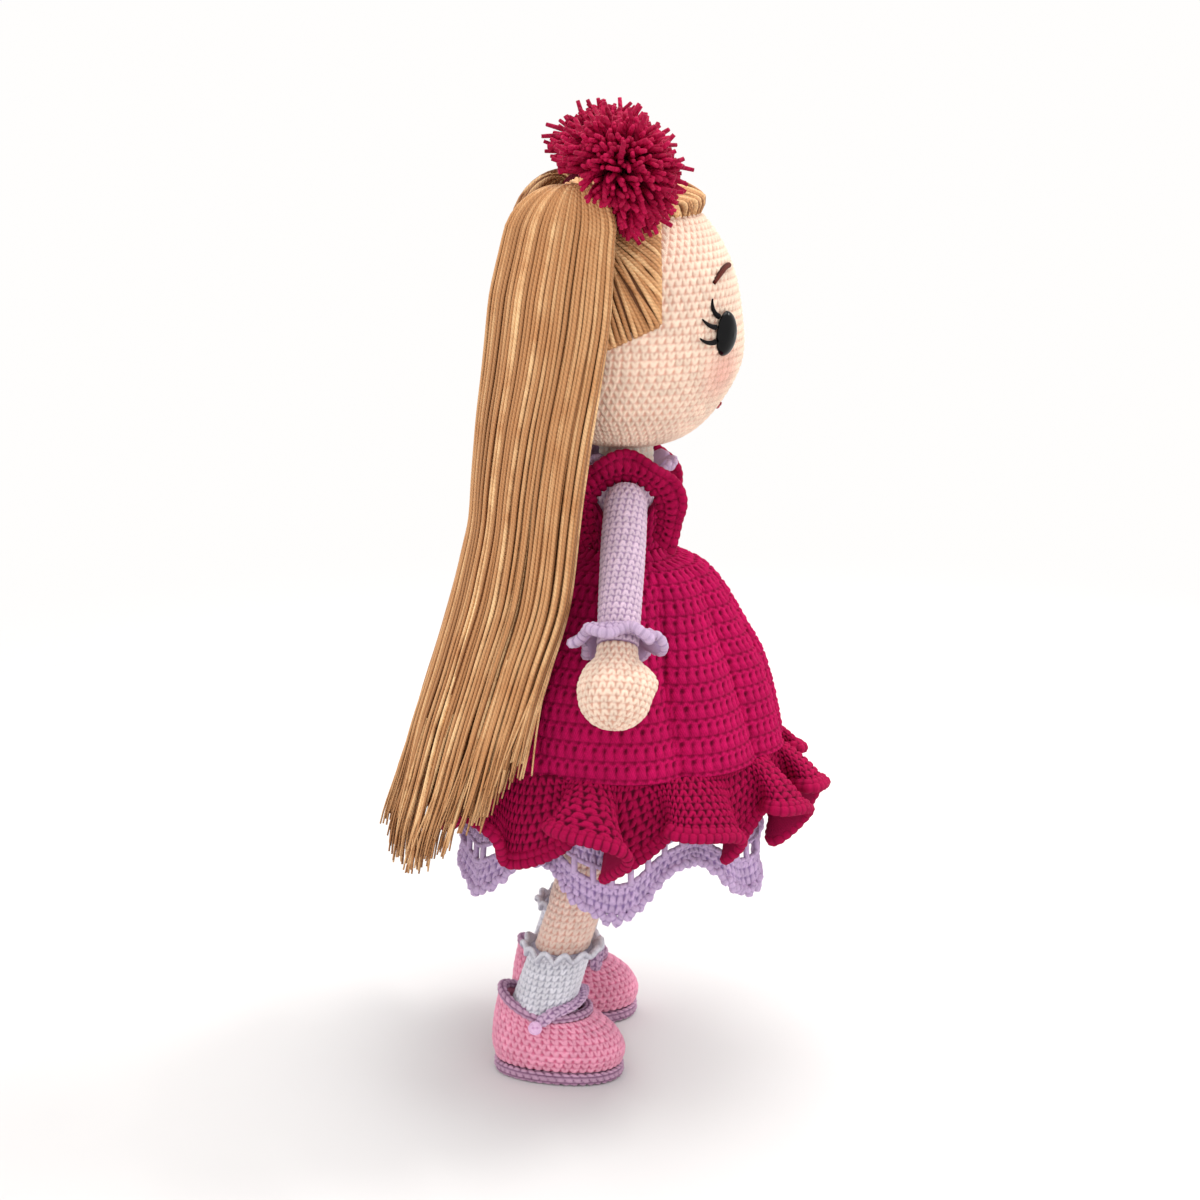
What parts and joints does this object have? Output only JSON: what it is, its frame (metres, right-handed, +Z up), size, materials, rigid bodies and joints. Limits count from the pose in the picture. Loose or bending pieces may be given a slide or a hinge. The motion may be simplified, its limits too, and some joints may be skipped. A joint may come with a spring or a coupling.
{
  "type": "amigurumi doll",
  "caption": "Crocheted girl doll with long yarn ponytails, pompoms, a flounced dress over a lace petticoat, socks and strap shoes; arms and legs turn on their joints",
  "frame": {"origin": "on the floor under the middle of the doll's overall box", "axes": "+Z up through the head, -Y the way the face looks, +X the doll's left hand side"},
  "size_m": [0.1654, 0.1756, 0.4027],
  "materials": {
    "skin_yarn": "matte",
    "lilac_yarn": "matte",
    "magenta_yarn": "matte",
    "hair_yarn": "satin",
    "sock_yarn": "matte",
    "shoe_yarn": "matte",
    "pompom_yarn": "matte",
    "eye_plastic": "gloss",
    "washer_plastic": "satin",
    "lash_thread": "matte",
    "brow_thread": "matte",
    "mouth_thread": "matte",
    "button_plastic": "satin",
    "fibre_stuffing": "matte",
    "dowel_wood": "matte",
    "insole_board": "matte"
  },
  "bodies": {
    "torso": {"body": "lilac_yarn", "body_stuffing": "fibre_stuffing", "neck": "skin_yarn", "neck_dowel": "dowel_wood", "shoulder_thread": "lilac_yarn", "collar": "lilac_yarn", "dress_bodice": "magenta_yarn", "dress_skirt": "magenta_yarn", "dress_flounce": "magenta_yarn", "petticoat": "lilac_yarn", "shoulder_frill_right": "magenta_yarn", "shoulder_frill_left": "magenta_yarn", "head": "skin_yarn", "head_stuffing": "fibre_stuffing", "hair_cap": "hair_yarn", "fringe": "hair_yarn", "mouth": "mouth_thread", "eye_right": "eye_plastic", "eye_washer_right": "washer_plastic", "eyelashes_right": "lash_thread", "eyebrow_right": "brow_thread", "hair_tie_right": "pompom_yarn", "pompom_right": "pompom_yarn", "eye_left": "eye_plastic", "eye_washer_left": "washer_plastic", "eyelashes_left": "lash_thread", "eyebrow_left": "brow_thread", "hair_tie_left": "pompom_yarn", "pompom_left": "pompom_yarn"},
    "arm_right": {"sleeve_right": "lilac_yarn", "cuff_frill_right": "lilac_yarn", "hand_right": "skin_yarn", "arm_stuffing_right": "fibre_stuffing"},
    "leg_right": {"leg_right": "skin_yarn", "leg_stuffing_right": "fibre_stuffing", "sock_right": "sock_yarn", "sock_frill_right": "sock_yarn", "shoe_sole_right": "lilac_yarn", "insole_right": "insole_board", "shoe_upper_right": "shoe_yarn", "shoe_rim_right": "lilac_yarn", "shoe_strap_right": "lilac_yarn", "shoe_button_right": "button_plastic"},
    "tail_right": {"ponytail_right": "hair_yarn"},
    "arm_left": {"sleeve_left": "lilac_yarn", "cuff_frill_left": "lilac_yarn", "hand_left": "skin_yarn", "arm_stuffing_left": "fibre_stuffing"},
    "leg_left": {"leg_left": "skin_yarn", "leg_stuffing_left": "fibre_stuffing", "sock_left": "sock_yarn", "sock_frill_left": "sock_yarn", "shoe_sole_left": "lilac_yarn", "insole_left": "insole_board", "shoe_upper_left": "shoe_yarn", "shoe_rim_left": "lilac_yarn", "shoe_strap_left": "lilac_yarn", "shoe_button_left": "button_plastic"},
    "tail_left": {"ponytail_left": "hair_yarn"}
  },
  "joints": [
    {"name": "shoulder_right", "type": "hinge", "parent": "torso", "child": "arm_right", "pos_m": [-0.0262, -0.0065, 0.2455], "axis": [-1, 0, 0], "range_deg": [-5, 110]},
    {"name": "hip_right", "type": "hinge", "parent": "torso", "child": "leg_right", "pos_m": [-0.015, -0.0085, 0.142], "axis": [-1, 0, 0], "range_deg": [-20, 40]},
    {"name": "tail_swing_right", "type": "hinge", "parent": "torso", "child": "tail_right", "pos_m": [-0.03864, 0.01007, 0.3626], "axis": [1, 0, 0], "range_deg": [0, 20]},
    {"name": "shoulder_left", "type": "hinge", "parent": "torso", "child": "arm_left", "pos_m": [0.0262, -0.0065, 0.2455], "axis": [-1, 0, 0], "range_deg": [-5, 110]},
    {"name": "hip_left", "type": "hinge", "parent": "torso", "child": "leg_left", "pos_m": [0.015, -0.0085, 0.142], "axis": [-1, 0, 0], "range_deg": [-20, 40]},
    {"name": "tail_swing_left", "type": "hinge", "parent": "torso", "child": "tail_left", "pos_m": [0.03864, 0.01007, 0.3626], "axis": [1, 0, 0], "range_deg": [0, 20]}
  ]
}
